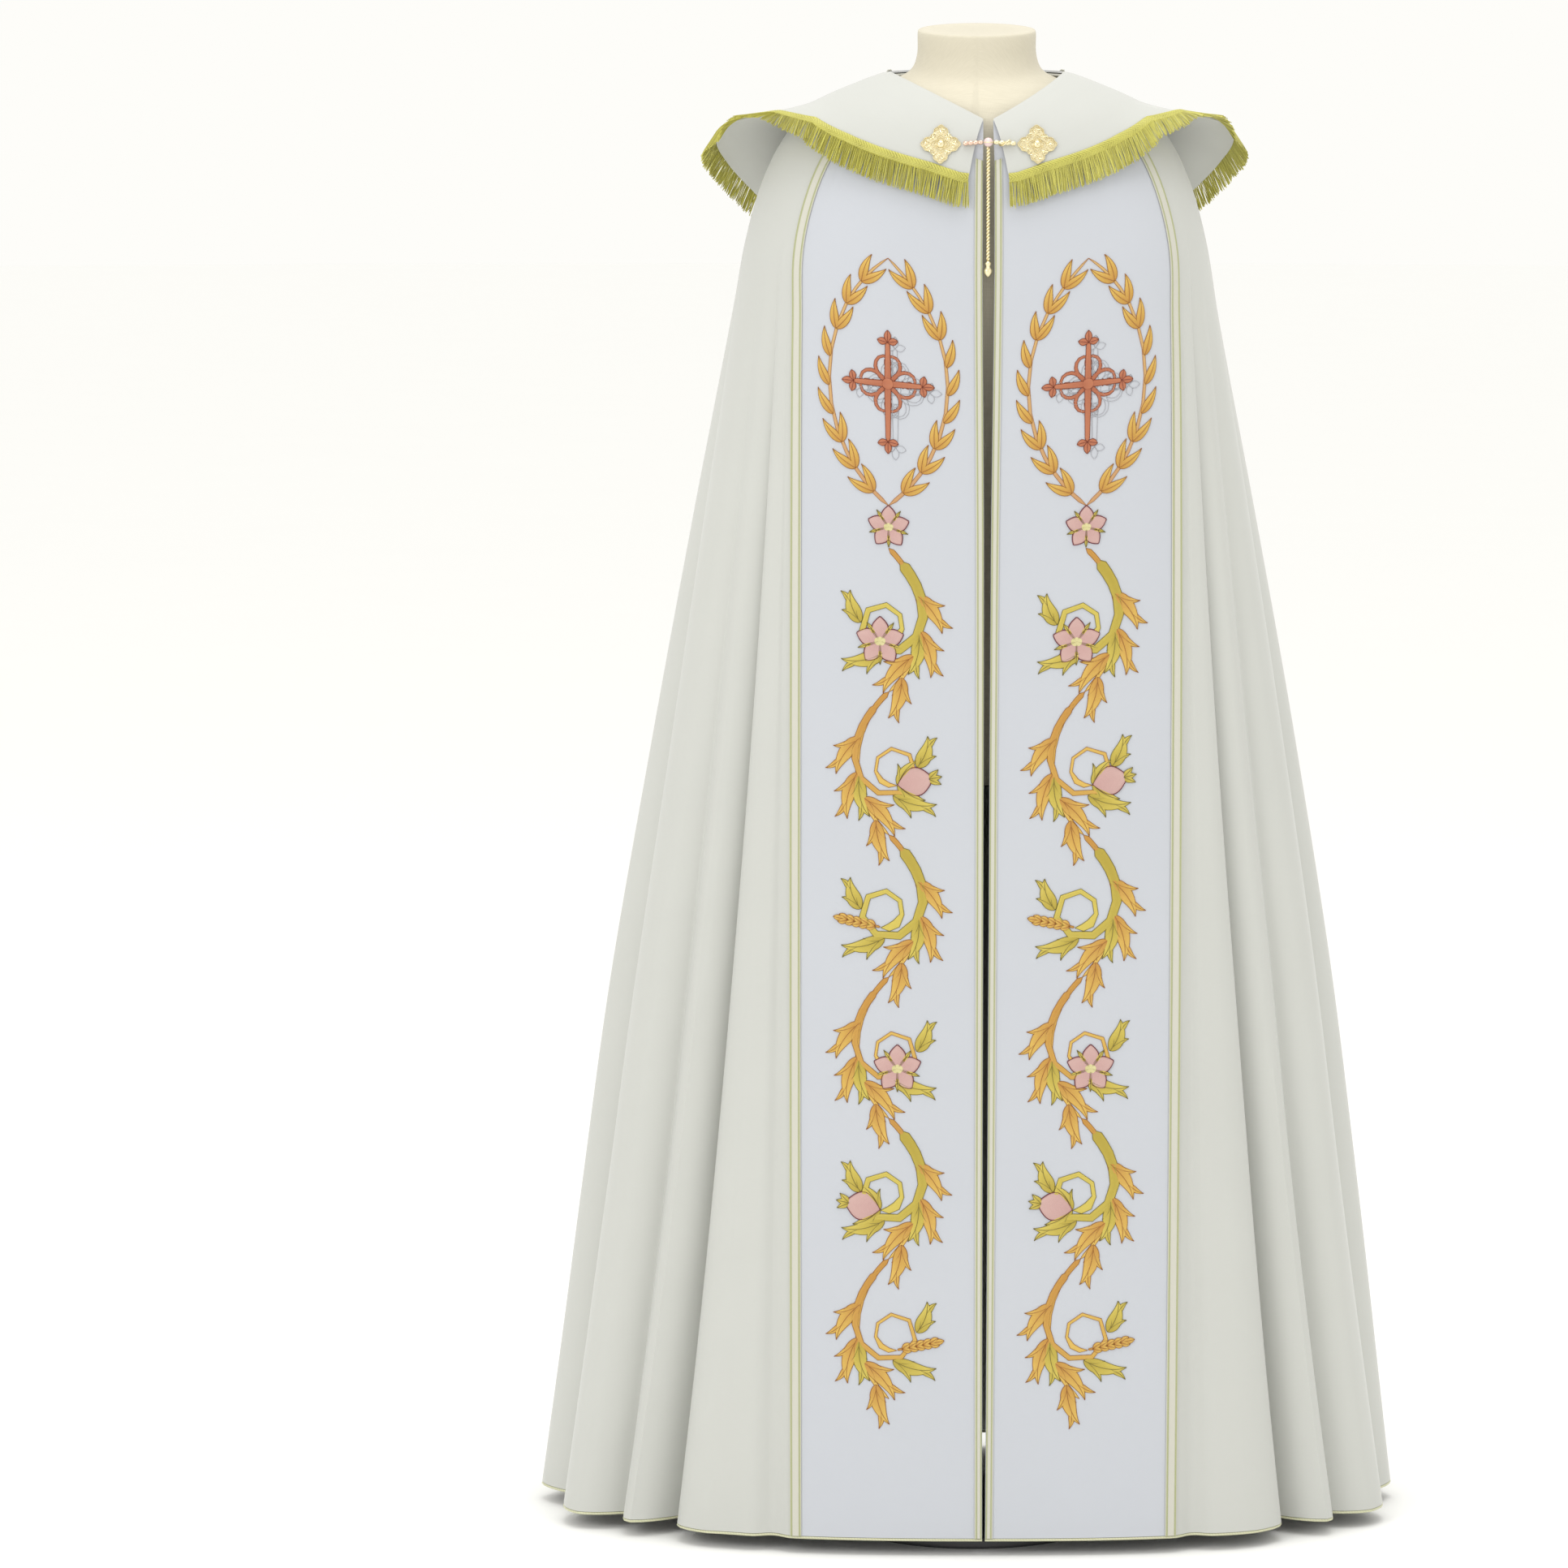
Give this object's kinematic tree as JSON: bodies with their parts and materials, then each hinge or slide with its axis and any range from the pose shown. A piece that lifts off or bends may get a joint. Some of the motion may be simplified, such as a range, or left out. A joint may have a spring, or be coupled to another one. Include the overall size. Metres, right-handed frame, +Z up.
{
  "type": "cope vestment on a dress form",
  "caption": "Floor-length semicircular cope with front orphreys, a fringed pointed hood and a chest clasp, hanging open-fronted on a limbless dress form with a stand.",
  "frame": {"origin": "on the floor, on the flat underside of the stand's base, below the neck", "axes": "+Z up, the front of the cope towards -Y, +X the viewer's right when it is seen from the front"},
  "size_m": [0.9229, 0.4981, 1.5862],
  "materials": {
    "cream_cloth": "cream silk cloth with a soft sheen",
    "white_cloth": "white silk cloth with a soft sheen",
    "galloon": "pale gold and green woven braid",
    "fringe": "gold-green twisted fringe",
    "pale_gold": "polished pale gold-coloured metal",
    "pink_stone": "pale pink polished stone",
    "form_linen": "beige linen over a hard form",
    "stand_steel": "satin dark grey paint"
  },
  "bodies": {
    "root": {"mantle_body": "cream_cloth", "orphrey_left": "white_cloth", "orphrey_right": "white_cloth", "hood_left": "cream_cloth", "hood_right": "cream_cloth", "hood_orphrey": "white_cloth", "seam_trim_left": "galloon", "seam_trim_right": "galloon", "edge_trim_left": "galloon", "edge_trim_right": "galloon", "hood_trim_left": "galloon", "hood_trim_right": "galloon", "hem_piping": "galloon", "hood_fringe": "fringe", "clasp_plate_left": "pale_gold", "clasp_plate_right": "pale_gold", "clasp_bar_left": "pale_gold", "clasp_bar_right": "pale_gold", "clasp_chain": "pale_gold", "chain_drop": "pale_gold", "clasp_stone": "pink_stone", "form_torso": "form_linen", "form_pole": "stand_steel", "form_base": "stand_steel"}
  },
  "joints": []
}
